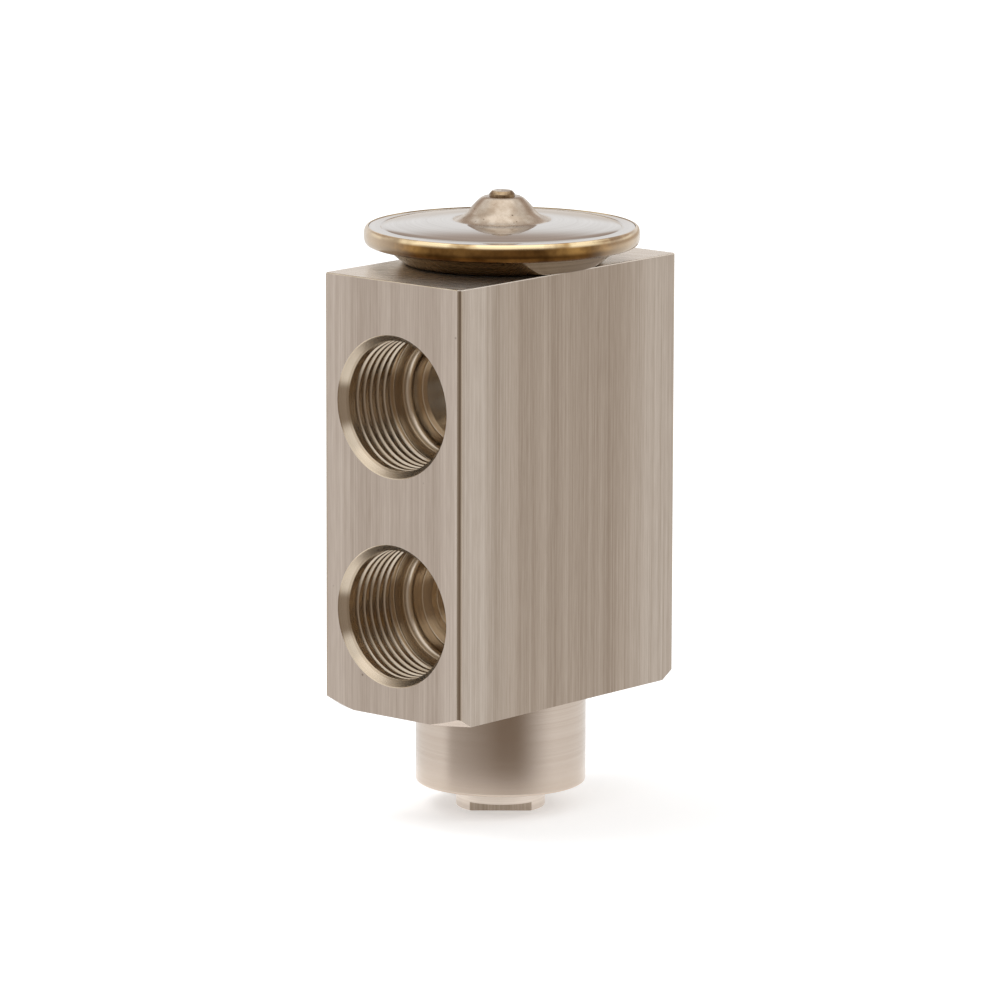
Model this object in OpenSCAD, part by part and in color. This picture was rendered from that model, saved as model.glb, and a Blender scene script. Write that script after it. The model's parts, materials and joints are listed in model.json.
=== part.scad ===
// Block expansion valve for a refrigeration circuit, with its round power head on top,
// female threaded ports front and back, and a superheat adjusting screw below.
// Origin: on the vertical axis, at the end face of the adjusting screw. Front ports face -Y.

/* [Block] */
// Width of the block across its port faces
block_w = 28.5; // [27:0.5:34]
// Depth of the block, from front port face to back port face
block_d = 53; // [50:0.5:60]
// Height of the block above its boss
block_h = 70; // [68:0.5:80]
// Rounding of the four upright edges
edge_r = 0.8; // [0.4:0.1:1.5]
// Radius at which the turned underside begins to rise
turn_r = 27.7; // [26:0.1:29]
// Angle of the turned underside corners
turn_angle = 35; // [20:1:45]
// Diameter of the turned boss
boss_d = 27.5; // [26:0.1:28.4]
// Height of the boss
boss_h = 14.5; // [13.5:0.1:18]
// Broken edge at the end of the boss
boss_edge = 0.4; // [0.2:0.1:1]

/* [Ports] */
// Height of the upper (suction) passage above the underside of the block
suction_h = 49.9; // [49:0.1:51]
// Height of the front lower (liquid) port above the underside of the block
liquid_h = 16.3; // [15:0.1:17]
// Height of the back lower (evaporator feed) port above the underside of the block
feed_h = 24; // [23:0.1:25]
// Diameter of the port thread at its crests
port_crest_d = 20.8; // [20:0.1:21.4]
// Diameter of the port mouth at the face
port_mouth_d = 22.7; // [22:0.1:23.4]
// Diameter of the smooth lead-in where the thread begins
port_lead_d = 21.8; // [21.5:0.1:22]
// Depth of the smooth lead-in
port_lead = 2; // [1:0.1:3]
// Length of the port thread
port_thread_l = 9.5; // [8:0.5:10.5]
// Diameter of the undercut behind the thread
undercut_d = 22.3; // [21.6:0.1:23]
// Length of the undercut
undercut_l = 1.5; // [1:0.1:2]
// Diameter of the seat ring behind the undercut
port_seat_d = 19.8; // [19:0.1:20.4]
// Straight length of that seat ring
port_seat_l = 0.9; // [0.5:0.1:1.5]
// Diameter of the pilot bore behind the seat ring
pilot_d = 17.2; // [16:0.1:18]
// Depth of the pilot bore below the port face
pilot_depth = 17; // [16.6:0.1:18.5]
// Rounding of the shoulder inside the liquid port
liquid_round = 1.95; // [1.4:0.05:2.2]

/* [Passages] */
// Diameter of the suction passage through the block
passage_d = 15; // [14:0.5:15.5]
// Diameter of the short drilling behind the liquid port's pilot bore
liquid_step_d = 13; // [12:0.5:13.5]
// Length of that short drilling
liquid_step_l = 1.2; // [0.8:0.1:1.5]
// Diameter of the liquid drilling into the valve chamber
liquid_feed_d = 8; // [7:0.5:8]
// Diameter of the expanded feed drilling
feed_d = 8; // [7:0.5:8]
// Height of the feed drilling above the centre of the feed port
feed_rise = 3.2; // [3:0.1:3.6]
// How far the feed drilling runs past the valve axis
feed_past = 4.5; // [4.2:0.1:5.5]
// Diameter of the valve chamber
chamber_d = 13; // [12.6:0.1:13.2]
// Height of the ball seat above the underside of the block
seat_h = 20.7; // [20.5:0.1:21]
// Diameter of the orifice
orifice_d = 5.2; // [4.8:0.1:5.4]
// Diameter of the guide bore for the push rod
guide_d = 3.3; // [3.28:0.01:3.36]
// Diameter of the counterbore for the rod seal
seal_bore_d = 9; // [8.6:0.1:9.6]
// Depth of that counterbore below the floor of the suction passage
seal_bore_l = 4; // [3.8:0.1:4.4]
// Length of the smooth chamber bore below the underside of the block
chamber_below = 4; // [3.5:0.1:4.5]
// Diameter of the adjusting thread
adjust_thread_d = 16; // [15:0.2:18]

/* [Power head] */
// Outside diameter of the head
head_d = 44.2; // [42:0.2:50]
// Thickness of the head at its rim
rim_h = 2.9; // [2.6:0.1:3.4]
// Height of the rim's underside above the block
rim_lift = 3.05; // [2.9:0.05:4]
// Thickness of the diaphragm
diaphragm_t = 0.25; // [0.15:0.05:0.3]
// Radial width of the weld bead
weld_w = 0.8; // [0.6:0.1:1.2]
// Diameter of the foot on which the lower shell sits
foot_d = 31.2; // [29:0.2:33]
// Wall of the pressed shells
shell_t = 1.2; // [1:0.05:1.3]
// Width of the lower shell's flat flange
lower_flange_w = 2; // [1.8:0.1:2.6]
// Rounding of the lower shell's bends, on the outside
knee_r = 1.8; // [1:0.1:2.4]
// Width of the flat ring on top of the rim
ring_w = 1.8; // [1.5:0.1:2.5]
// Width of the pressed groove inside that ring
groove_l = 0.6; // [0.4:0.1:1]
// Depth of that groove
groove_depth = 0.12; // [0.05:0.01:0.2]
// Rise of the cover from the rim's step to the dome
cover_rise = 1; // [0.6:0.1:1.6]
// Diameter of the dome at its foot
dome_d = 15.8; // [14:0.2:18]
// Height of the dome above the cover
dome_h = 3.7; // [3:0.1:5]
// Height of the flare at the foot of the dome
flare_h = 0.35; // [0.2:0.05:0.6]
// Share by which the dome's side bulges from a cone towards an ellipse
dome_bulge = 0.25; // [0:0.05:0.6]
// Depth of the crater that holds the charge plug
crater_t = 0.9; // [0.6:0.1:1.2]
// Diameter of the dome's side where it leaves the flare
dome_side_d = 12.6; // [11:0.2:13.4]
// Diameter of the dome at its top edge
dome_top_d = 6; // [5.4:0.1:7]
// Diameter of the charge plug
plug_d = 4.1; // [3.6:0.1:4.6]
// How far the charge plug stands above the dome
plug_stand = 0.95; // [0.6:0.05:1.5]
// Diameter of the charge plug at its top
plug_top_d = 3.2; // [2.6:0.1:3.4]
// Rounding of the weld bead's outer edges
weld_round = 0.55; // [0.3:0.05:0.8]
// Diameter of the threaded neck
neck_d = 21.4; // [20:0.2:22]
// Length of the neck below the head
neck_l = 8.3; // [7:0.1:8.6]
// Diameter of the neck's spigot in the lower shell
spigot_hole_d = 18; // [14:0.5:18.5]
// Bore of the neck
neck_bore_d = 10.4; // [9:0.2:12]
// Gap below the neck in its socket
socket_gap = 0.25; // [0.1:0.05:0.6]
// Wire thickness of the head seal
head_seal_t = 1.76; // [1.6:0.02:1.9]

/* [Moving stack] */
// Diameter of the pad under the diaphragm
pad_d = 25; // [20:0.5:27]
// Thickness of the pad
pad_t = 1.6; // [1.2:0.1:1.7]
// Diameter of the sensing pin
pin_d = 6.4; // [5:0.1:7]
// Diameter of the push rod
rod_d = 3.2; // [3:0.01:3.22]
// Height of the sensing pin's end above the floor of the suction passage, valve open
pin_lift = 1; // [0.5:0.1:2]
// Chamfer at the end of the sensing pin
pin_chamfer = 0.5; // [0.3:0.1:0.8]
// Length of push rod pressed into the sensing pin
rod_grip = 6; // [4:0.5:8]
// Diameter of the valve ball
ball_d = 6.35; // [6:0.05:6.5]
// Opening travel of the ball
stroke = 0.8; // [0.5:0.1:1]
// Depth of the ball's pocket in the carrier, measured above the ball's lowest point
pocket_depth = 2.2; // [1.6:0.1:2.6]
// Diameter of the ball carrier's flange
carrier_d = 11.2; // [10.6:0.1:11.4]
// Thickness of the ball carrier's flange
carrier_t = 2.8; // [2.4:0.1:3.2]
// Diameter of the spigots inside the coil spring
spigot_d = 6.6; // [6:0.1:6.8]
// Length of the carrier's spigot
carrier_spigot_l = 2.6; // [2:0.1:3]
// Thickness of the damper strip
damper_t = 0.3; // [0.2:0.05:0.4]
// Length of the damper fingers
finger_l = 4.2; // [3:0.1:5]
// Width of the damper fingers
finger_w = 1.6; // [1.2:0.1:2]
// Number of damper fingers
fingers = 3; // [3:1:4]

/* [Adjuster] */
// Wire thickness of the superheat spring
wire_d = 1.5; // [1.2:0.1:1.6]
// Coil diameter of the spring at the wire's centre
coil_d = 8.8; // [8.6:0.1:9.2]
// Turns that lie closed at each end of the spring
closed_turns = 0.75; // [0.5:0.25:1]
// Number of turns of the spring
turns = 4.5; // [4:0.5:5]
// Height of the spring seat's top above the underside of the block
spring_seat_h = 3.5; // [3:0.1:4]
// Thickness of the spring seat
spring_seat_t = 2; // [1.6:0.1:2.4]
// Length of the spring seat's spigot
seat_spigot_l = 2; // [1.5:0.1:2.5]
// Travel of the adjusting screw each way
adjust_travel = 1; // [0.5:0.1:1]
// Distance from the end of the boss to the end of the screw
screw_out = 4.1; // [3.8:0.1:5]
// Diameter of the screw's plain end below its thread
screw_end_d = 14.4; // [14:0.1:14.8]
// Height of the two spanner flats milled on that end
flats_h = 1.4; // [1:0.1:2]
// Width across the flats
flats = 10.4; // [10.2:0.1:12]
// Angle at which the flats stand
flats_turn = 41; // [0:1:179]
// Length of the screw's thread
screw_thread_l = 7.6; // [7:0.1:8]
// Depth of the thread below the end of the boss
screw_in = 1.4; // [1.2:0.1:1.8]
// Thickness of the adjuster seal
screw_seal_t = 1.5; // [1.3:0.1:1.6]
// Length of bore left above the seal with the screw wound out
seal_margin = 0.3; // [0.2:0.05:0.5]
// Thickness of the retaining ring over the rod seal
clip_t = 0.5; // [0.4:0.1:0.6]
// Radial width of that ring
clip_w = 1.44; // [1.2:0.02:1.6]
// Depth of its groove
clip_bite = 0.4; // [0.3:0.05:0.5]
// Width of its split
clip_split = 2; // [1.5:0.1:3]

/* [Fits] */
// Clearance of threads, as modelled plain
thread_fit = 0.05; // [0.05:0.01:0.1]
// Clearance of sliding and sealing faces
slide_fit = 0.06; // [0.04:0.01:0.1]
// Clearance of loose pieces
loose_fit = 0.15; // [0.1:0.05:0.2]
// Gap left between diaphragm and pad
pad_gap = 0.1; // [0.05:0.05:0.15]
// Gap left between ball and seat
ball_gap = 0.1; // [0.05:0.05:0.2]

/* [Hidden] */
$fn = 96;
eps = 0.02;
past = 5;

// Levels, upwards from the end of the screw
boss_z = screw_out;
block_z = boss_z + boss_h;
top_z = block_z + block_h;
suction_z = block_z + suction_h;
liquid_z = block_z + liquid_h;
feed_z = block_z + feed_h;
seat_z = block_z + seat_h;
passage_floor_z = suction_z - passage_d / 2;
seal_floor_z = passage_floor_z - seal_bore_l;
clip_r = seal_bore_d / 2 + clip_bite - slide_fit;
clip_z = passage_floor_z - clip_t;
rod_seal_t = (seal_bore_d - rod_d) / 2 - 2 * slide_fit;
chamber_z = block_z - chamber_below;

// Ports
thread_end = port_lead + port_thread_l;
undercut_end = thread_end + undercut_l;
seat_end = undercut_end + port_seat_l;
port_round = (port_seat_d - pilot_d) / 2;
lead_cone = (port_lead_d - port_crest_d) / 2;

// Head
foot_z = top_z;
rim_z = top_z + rim_lift;
rim_top_z = rim_z + rim_h;
flange_t = (rim_h - diaphragm_t) / 2;
flange_d = head_d - 2 * weld_w;
diaphragm_z = rim_z + flange_t;
cover_z = rim_top_z + cover_rise;
dome_z = cover_z + dome_h;
socket_d = neck_d + 2 * thread_fit;
socket_z = foot_z - neck_l - socket_gap;
seal_seat_l = head_seal_t + slide_fit;
seal_seat_d = neck_d + 2 * (head_seal_t + 2 * slide_fit);
foot_r = foot_d / 2;
flange_r = flange_d / 2;
mouth_r = flange_r - lower_flange_w;
wall_angle = atan((rim_z - foot_z) / (mouth_r - foot_r));
mouth_inner_r = mouth_r + flange_t / tan(wall_angle) - shell_t / sin(wall_angle);
foot_inner_r = foot_r + shell_t / tan(wall_angle) - shell_t / sin(wall_angle);

// Moving stack
pad_z = diaphragm_z - pad_gap - pad_t;
pin_z = passage_floor_z + pin_lift + stroke;
ball_r = ball_d / 2;
seat_reach = ball_r + ball_gap;
ball_z = seat_z - sqrt(seat_reach * seat_reach - orifice_d * orifice_d / 4);
rod_z = ball_z + ball_r + eps;
carrier_top_z = ball_z - ball_r + pocket_depth;
carrier_z = carrier_top_z - carrier_t;
damper_z = carrier_z - damper_t;
finger_r = carrier_d / 2 - eps;
finger_lean = asin((chamber_d / 2 - loose_fit - finger_r) / finger_l);

// Adjuster
spring_base_z = block_z + spring_seat_h;
spring_len = damper_z - spring_base_z;
seat_plate_z = spring_base_z - spring_seat_t;
screw_thread_z = boss_z + screw_in;
screw_body_z = screw_thread_z + screw_thread_l;
nose_z = seat_plate_z - eps;
screw_seal_z = chamber_z + screw_seal_t / 2 + adjust_travel + seal_margin;
groove_w = screw_seal_t + 2 * loose_fit;
sealed_d = chamber_d - 2 * slide_fit;

// Points of the arc that rounds corner b, on the way from a to c
function corner_arc(a, b, c, r, steps) =
    let (u = (a - b) / norm(a - b), v = (c - b) / norm(c - b), half = acos(u * v) / 2,
         centre = b + (u + v) / norm(u + v) * r / sin(half),
         p = b + u * r / tan(half) - centre, q = b + v * r / tan(half) - centre,
         sweep = atan2(p[0] * q[1] - p[1] * q[0], p * q), start = atan2(p[1], p[0]))
    [for (i = [0:steps]) centre + r * [cos(start + sweep * i / steps), sin(start + sweep * i / steps)]];

// Closed outline through corners [x, y, rounding]
function outline(corners, steps = 6) =
    let (n = len(corners), flat = [for (k = corners) [k[0], k[1]]])
    [for (i = [0:n - 1])
        each corners[i][2] > 0
            ? corner_arc(flat[(i + n - 1) % n], flat[i], flat[(i + 1) % n], corners[i][2], steps)
            : [flat[i]]];

// Solid ring of round section about the Z axis
module o_ring(centre_r, section_d) {
    rotate_extrude() translate([centre_r, 0]) circle(d = section_d, $fn = 48);
}

// Upright tube between two levels
module tube(outer, inner, low, high) {
    translate([0, 0, low]) difference() {
        cylinder(d = outer, h = high - low);
        translate([0, 0, -past]) cylinder(d = inner, h = high - low + 2 * past);
    }
}

// Cylinder between two levels
module post(d, low, high) {
    translate([0, 0, low]) cylinder(d = d, h = high - low);
}

// Rectangle with rounded corners, centred
module rounded_rect(w, d, r) {
    union() {
        square([w - 2 * r, d], center = true);
        square([w, d - 2 * r], center = true);
        for (sx = [-1, 1], sy = [-1, 1])
            translate([sx * (w / 2 - r), sy * (d / 2 - r)]) circle(r = r, $fn = 32);
    }
}

// Cavity of one threaded port, opening towards -Z at the level of the face, running up +Z
module port_cavity(round_l) {
    mouth_slope = (port_mouth_d - port_lead_d) / port_lead;
    translate([0, 0, -past])
        cylinder(d1 = port_mouth_d + past * mouth_slope, d2 = port_lead_d, h = port_lead + past);
    translate([0, 0, port_lead - eps])
        cylinder(d1 = port_lead_d, d2 = port_crest_d, h = lead_cone + eps);
    translate([0, 0, port_lead]) cylinder(d = port_crest_d, h = port_thread_l + eps);
    translate([0, 0, thread_end]) cylinder(d = undercut_d, h = undercut_l);
    translate([0, 0, undercut_end - eps]) cylinder(d = port_seat_d, h = port_seat_l + eps);
    translate([0, 0, seat_end - eps]) cylinder(d = pilot_d, h = pilot_depth - seat_end + eps);
    rotate_extrude() difference() {
        translate([pilot_d / 2 - eps, seat_end - eps]) square([port_round + eps, round_l + eps]);
        translate([pilot_d / 2 + round_l, seat_end + round_l]) circle(r = round_l, $fn = 64);
    }
}

// Port cavity placed in the front face (side -1) or the back face (side 1)
module port_at(side, z, round_l) {
    translate([0, side * block_d / 2, z]) rotate([side * 90, 0, 0]) port_cavity(round_l);
}

// Outside of the block: extruded bar, turned boss, turned-away bottom corners
module block_outside() {
    reach = 40;
    difference() {
        union() {
            translate([0, 0, block_z]) linear_extrude(block_h) rounded_rect(block_w, block_d, edge_r);
            post(boss_d - 2 * boss_edge, boss_z, block_z);
            post(boss_d, boss_z + boss_edge, block_z + eps);
            translate([0, 0, boss_z])
                cylinder(d1 = boss_d - 2 * boss_edge, d2 = boss_d, h = boss_edge + eps);
        }
        rotate_extrude()
            polygon([[turn_r, block_z - past], [turn_r, block_z],
                     [reach, block_z + (reach - turn_r) * tan(turn_angle)], [reach, block_z - past]]);
    }
}

// Drillings on the valve axis, from the adjusting thread up to the head's socket
module axis_drillings() {
    post(adjust_thread_d, boss_z - past, chamber_z);
    post(chamber_d, chamber_z - eps, seat_z);
    post(orifice_d, seat_z - eps, feed_z + feed_rise);
    post(guide_d, feed_z + feed_rise, seal_floor_z + eps);
    post(seal_bore_d, seal_floor_z, suction_z);
    post(seal_bore_d + 2 * clip_bite, clip_z - eps, clip_z + clip_t + 2 * eps);
    post(neck_bore_d, suction_z, socket_z + eps);
    post(socket_d, socket_z, top_z + past);
    post(seal_seat_d, top_z - seal_seat_l, top_z + past);
}

// Cross drillings: suction passage, liquid inlet, feed outlet
module cross_drillings() {
    pilot_floor = block_d / 2 - pilot_depth;
    translate([0, 0, suction_z]) rotate([90, 0, 0])
        cylinder(d = passage_d, h = 2 * pilot_floor + 2 * eps, center = true);
    translate([0, -pilot_floor - eps, liquid_z]) rotate([-90, 0, 0])
        cylinder(d = liquid_step_d, h = liquid_step_l + eps);
    translate([0, -pilot_floor, liquid_z]) rotate([-90, 0, 0])
        cylinder(d = liquid_feed_d, h = pilot_floor);
    translate([0, pilot_floor + eps, feed_z + feed_rise]) rotate([90, 0, 0])
        cylinder(d = feed_d, h = pilot_floor + feed_past);
}

module valve_block() color([0.70, 0.65, 0.60]) difference() {
    block_outside();
    port_at(-1, suction_z, port_round);
    port_at(-1, liquid_z, liquid_round);
    port_at(1, suction_z, port_round);
    port_at(1, feed_z, port_round);
    axis_drillings();
    cross_drillings();
}

// Pressed dish: flat foot, sloping side, flat flange under the diaphragm
module lower_shell() color([0.62, 0.60, 0.57])
    rotate_extrude() polygon(outline([
        [spigot_hole_d / 2, foot_z, 0], [foot_r, foot_z, knee_r], [mouth_r, rim_z, knee_r - shell_t / 2],
        [flange_r, rim_z, 0], [flange_r, diaphragm_z, 0], [mouth_inner_r, diaphragm_z, knee_r / 2],
        [foot_inner_r, foot_z + shell_t, knee_r / 2], [spigot_hole_d / 2, foot_z + shell_t, 0]]));

// Turned and threaded neck, its spigot welded in the hole of the lower shell
module head_neck() color([0.66, 0.64, 0.61]) difference() {
    union() {
        post(neck_d, foot_z - neck_l, foot_z);
        post(spigot_hole_d, foot_z - eps, foot_z + shell_t);
    }
    post(neck_bore_d, foot_z - neck_l - past, foot_z + past);
}

module head_seal() color([0.12, 0.12, 0.12])
    translate([0, 0, top_z - (head_seal_t + slide_fit) / 2])
        o_ring(neck_d / 2 + slide_fit + head_seal_t / 2, head_seal_t);

// Thin disc clamped at the rim, with ring-shaped convolutions
module diaphragm() {
    flat_w = 0.5;
    wave_in = pad_d / 2 + flat_w;
    wave_out = mouth_inner_r - flat_w;
    waves = 2;
    wave_h = 0.18;
    steps = 16;
    function wave_r(i) = wave_in + (wave_out - wave_in) * i / steps;
    function wave_z(i) = wave_h * sin(360 * waves * i / steps);
    lower = [for (i = [0:steps]) [wave_r(i), diaphragm_z + wave_z(i)]];
    upper = [for (i = [steps:-1:0]) [wave_r(i), diaphragm_z + diaphragm_t + wave_z(i)]];
    color([0.75, 0.75, 0.75]) rotate_extrude() polygon(concat(
        [[0, diaphragm_z]], lower,
        [[flange_r, diaphragm_z], [flange_r, diaphragm_z + diaphragm_t]],
        upper, [[0, diaphragm_z + diaphragm_t]]));
}

// Pressed cover: flat rim ring, groove, gently rising disc, blunt dome with a hole for the charge plug
module upper_shell() {
    base_z = diaphragm_z + diaphragm_t;
    ring_r = flange_r - ring_w;
    top_r = dome_top_d / 2;
    side_r = dome_side_d / 2;
    plug_r = plug_d / 2;
    flare_z = cover_z + flare_h;
    steps = 10;
    dome_wall = shell_t * 0.8;
    inner_z = cover_z - shell_t;
    inner_top_z = dome_z - crater_t - dome_wall;
    clear_h = 0.5;
    inner_points = 2;
    // Radius of a dome's side from its foot (share 1) to its top (share 0), part cone and part ellipse
    function dome_r(top, foot, share) = top + (foot - top)
        * (share + dome_bulge * (sqrt(1 - (1 - share) * (1 - share)) - share));
    rim = outline([
        [flange_r, base_z, 0], [flange_r, rim_top_z, 0], [ring_r, rim_top_z, groove_depth],
        [ring_r - groove_l / 2, rim_top_z - groove_depth, groove_depth],
        [ring_r - groove_l, rim_top_z + groove_depth, groove_l],
        [dome_d / 2, cover_z, dome_d], [side_r, flare_z, 0], [mouth_inner_r, base_z, 0]]);
    dome = [for (i = [steps:-1:0]) let (share = i / steps)
        [dome_r(top_r, side_r, share), dome_z - (dome_z - flare_z) * share]];
    hollow = [for (i = [0:steps]) let (share = i / steps)
        [dome_r(top_r - dome_wall, side_r - dome_wall, share),
         inner_top_z - (inner_top_z - inner_z) * share]];
    color([0.80, 0.79, 0.77]) rotate_extrude() polygon(concat(
        [for (i = [0:len(rim) - 1 - inner_points]) rim[i]],
        dome,
        [[plug_r, dome_z], [plug_r, dome_z - crater_t], [0, dome_z - crater_t], [0, inner_top_z]],
        hollow,
        [[mouth_inner_r - clear_h, base_z + clear_h], [mouth_inner_r, base_z]]));
}

// Weld bead that closes the rim, rounded on its outer edges
module rim_weld() color([0.72, 0.55, 0.25])
    rotate_extrude() polygon(outline([
        [flange_r + slide_fit / 2, rim_z, 0], [head_d / 2, rim_z, weld_round],
        [head_d / 2, rim_top_z, weld_round], [flange_r + slide_fit / 2, rim_top_z, 0]]));

// Stub welded in the crater of the dome once the head is charged
module charge_plug() color([0.55, 0.47, 0.36]) {
    taper_z = dome_z + plug_stand / 2;
    post(plug_d, dome_z - crater_t, taper_z);
    translate([0, 0, taper_z]) cylinder(d1 = plug_d, d2 = plug_top_d, h = plug_stand / 2);
}

module diaphragm_pad() color([0.70, 0.62, 0.42]) {
    rim = 0.5;
    translate([0, 0, pad_z]) cylinder(d1 = pad_d - 2 * rim, d2 = pad_d, h = rim);
    post(pad_d, pad_z + rim - eps, pad_z + pad_t);
}

module sensing_pin() color([0.78, 0.78, 0.76]) difference() {
    union() {
        post(pin_d, pin_z + pin_chamfer, pad_z);
        translate([0, 0, pin_z]) cylinder(d1 = pin_d - 2 * pin_chamfer, d2 = pin_d, h = pin_chamfer + eps);
    }
    post(rod_d, pin_z - past, pin_z + rod_grip);
}

module push_rod() color([0.80, 0.80, 0.80]) post(rod_d, rod_z, pin_z + rod_grip);

// Seals on the rod in the wall between suction passage and feed drilling
module rod_seal() color([0.10, 0.10, 0.11])
    translate([0, 0, seal_floor_z + rod_seal_t / 2 + eps])
        o_ring((seal_bore_d + rod_d) / 4, rod_seal_t);

module seal_washer() color([0.75, 0.72, 0.62])
    tube(seal_bore_d - 2 * slide_fit, rod_d + 2 * loose_fit,
         seal_floor_z + rod_seal_t + 2 * eps, clip_z - eps);

// Split ring sprung into its groove above the washer
module seal_clip() color([0.45, 0.45, 0.47]) difference() {
    tube(2 * clip_r, 2 * (clip_r - clip_w), clip_z, clip_z + clip_t);
    translate([-clip_split / 2, 0, clip_z - past]) cube([clip_split, seal_bore_d, clip_t + 2 * past]);
}

module valve_ball() color([0.82, 0.82, 0.84]) translate([0, 0, ball_z]) sphere(d = ball_d, $fn = 48);

// Brass guide with a ball-shaped pocket on top and a spigot inside the spring
module ball_carrier() color([0.75, 0.62, 0.33]) difference() {
    union() {
        post(carrier_d, carrier_z, carrier_top_z);
        post(spigot_d, carrier_z - carrier_spigot_l - damper_t, carrier_z + eps);
    }
    translate([0, 0, ball_z]) sphere(d = ball_d + 2 * eps, $fn = 48);
}

// Ring under the carrier's flange with fingers that rub on the chamber wall
module damper_spring() color([0.62, 0.64, 0.66]) {
    tube(carrier_d, spigot_d + 2 * slide_fit, damper_z, carrier_z - eps);
    for (i = [0:fingers - 1]) rotate([0, 0, 30 + 360 * i / fingers])
        translate([finger_r - damper_t, -finger_w / 2, damper_z + damper_t / 2]) rotate([0, -finger_lean, 0])
            translate([0, 0, -finger_l]) cube([damper_t, finger_w, finger_l]);
}

// Coil spring with closed ends, swept along a helix
module superheat_spring() {
    sides = 8;
    per_turn = 16;
    rings = turns * per_turn;
    rise = spring_len - wire_d - 2 * eps;
    end_rise = wire_d * closed_turns;
    function open_share(t) = min(1, max(0, (t - closed_turns) / (turns - 2 * closed_turns)));
    function closed_share(t) = (min(t, closed_turns) + max(0, t - turns + closed_turns)) / closed_turns;
    function coil_z(t) = spring_base_z + wire_d / 2 + eps
        + end_rise * closed_share(t) + (rise - 2 * end_rise) * open_share(t);
    points = [for (i = [0:rings], j = [0:sides - 1])
        let (t = i / per_turn, a = 360 * t, b = 360 * (j + 0.5) / sides,
             r = coil_d / 2 + wire_d / 2 * cos(b))
        [r * cos(a), r * sin(a), coil_z(t) + wire_d / 2 * sin(b)]];
    walls = [for (i = [0:rings - 1], j = [0:sides - 1])
        let (k = (j + 1) % sides)
        [i * sides + j, (i + 1) * sides + j, (i + 1) * sides + k, i * sides + k]];
    first = [for (j = [0:sides - 1]) j];
    last = [for (j = [sides - 1:-1:0]) rings * sides + j];
    color([0.60, 0.60, 0.62]) polyhedron(points, concat([first], walls, [last]), convexity = 10);
}

// Follower between the screw and the coil spring
module spring_seat() color([0.75, 0.62, 0.33]) {
    post(sealed_d, seat_plate_z, spring_base_z);
    post(spigot_d, spring_base_z - eps, spring_base_z + seat_spigot_l);
}

// Threaded screw: nose with seal groove, thread, plain end with two spanner flats
module adjusting_screw() color([0.70, 0.66, 0.60]) difference() {
    union() {
        post(screw_end_d, 0, screw_thread_z + eps);
        post(adjust_thread_d - 2 * thread_fit, screw_thread_z, screw_body_z);
        post(sealed_d, screw_body_z - eps, nose_z);
    }
    tube(adjust_thread_d, sealed_d - 2 * screw_seal_t, screw_seal_z - groove_w / 2,
         screw_seal_z + groove_w / 2);
    rotate([0, 0, flats_turn]) for (side = [-1, 1])
        translate([0, side * (flats / 2 + screw_end_d), 0])
            cube([2 * screw_end_d, 2 * screw_end_d, 2 * flats_h], center = true);
}

module adjuster_seal() color([0.10, 0.10, 0.11])
    translate([0, 0, screw_seal_z]) o_ring(sealed_d / 2 - screw_seal_t / 2, screw_seal_t - 2 * eps);

valve_block();
lower_shell();
head_neck();
head_seal();
diaphragm();
upper_shell();
rim_weld();
charge_plug();
diaphragm_pad();
sensing_pin();
push_rod();
rod_seal();
seal_washer();
seal_clip();
valve_ball();
ball_carrier();
damper_spring();
superheat_spring();
spring_seat();
adjusting_screw();
adjuster_seal();
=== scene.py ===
import json
import math

import bmesh
import bpy
from mathutils import Matrix, Vector


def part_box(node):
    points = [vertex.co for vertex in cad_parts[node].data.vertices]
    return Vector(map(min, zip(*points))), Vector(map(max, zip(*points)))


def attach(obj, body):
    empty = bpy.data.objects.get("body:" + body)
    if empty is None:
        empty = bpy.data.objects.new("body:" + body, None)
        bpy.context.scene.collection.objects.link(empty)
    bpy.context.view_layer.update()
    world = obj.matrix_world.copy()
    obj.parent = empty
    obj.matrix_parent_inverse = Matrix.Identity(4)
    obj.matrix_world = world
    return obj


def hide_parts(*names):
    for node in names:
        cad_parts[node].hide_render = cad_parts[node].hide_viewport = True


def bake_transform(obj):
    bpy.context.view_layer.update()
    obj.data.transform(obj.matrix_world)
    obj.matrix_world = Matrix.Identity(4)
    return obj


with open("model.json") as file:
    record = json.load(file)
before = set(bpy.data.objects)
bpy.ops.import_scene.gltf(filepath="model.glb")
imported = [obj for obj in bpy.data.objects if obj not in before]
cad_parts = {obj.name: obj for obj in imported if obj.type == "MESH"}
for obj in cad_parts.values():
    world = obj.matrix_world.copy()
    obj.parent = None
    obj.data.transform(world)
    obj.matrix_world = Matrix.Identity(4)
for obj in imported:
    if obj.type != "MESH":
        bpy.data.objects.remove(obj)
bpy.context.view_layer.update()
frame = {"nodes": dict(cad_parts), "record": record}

# The valve block is cut from drawn metal bar, so its four upright sides keep the long streaks of the die.
# A lathe then turns the boss and the underside, and each port is bored, undercut and threaded from its face.
# The same block carries the ball seat, the valve chamber and the drillings that join the ports.
MM = 0.001
record_mounts = {m["name"]: m for m in frame["record"]["mounts"]}
suction_z, liquid_z, feed_z = [record_mounts[name]["pos_m"][2] / MM for name in (
    "suction_outlet_port", "liquid_inlet_port", "feed_outlet_port")]
port_crest_r = record_mounts["liquid_inlet_port"]["dims"]["r_mm"]


def box_of(name):
    """Low and high corner of a CAD node, in millimetres."""
    return [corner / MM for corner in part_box(name)]


block_low, block_high = box_of("valve_block")
block_w = block_high.x - block_low.x
block_d = block_high.y - block_low.y
top_z = block_high.z
boss_z = block_low.z
boss_h = 14.5
block_z = boss_z + boss_h
boss_r = 13.75
edge_r = 0.6
sawn_edge = 0.18
turned_edge = 0.4
turn_r = 27.7
turn_angle = math.radians(35)

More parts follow.
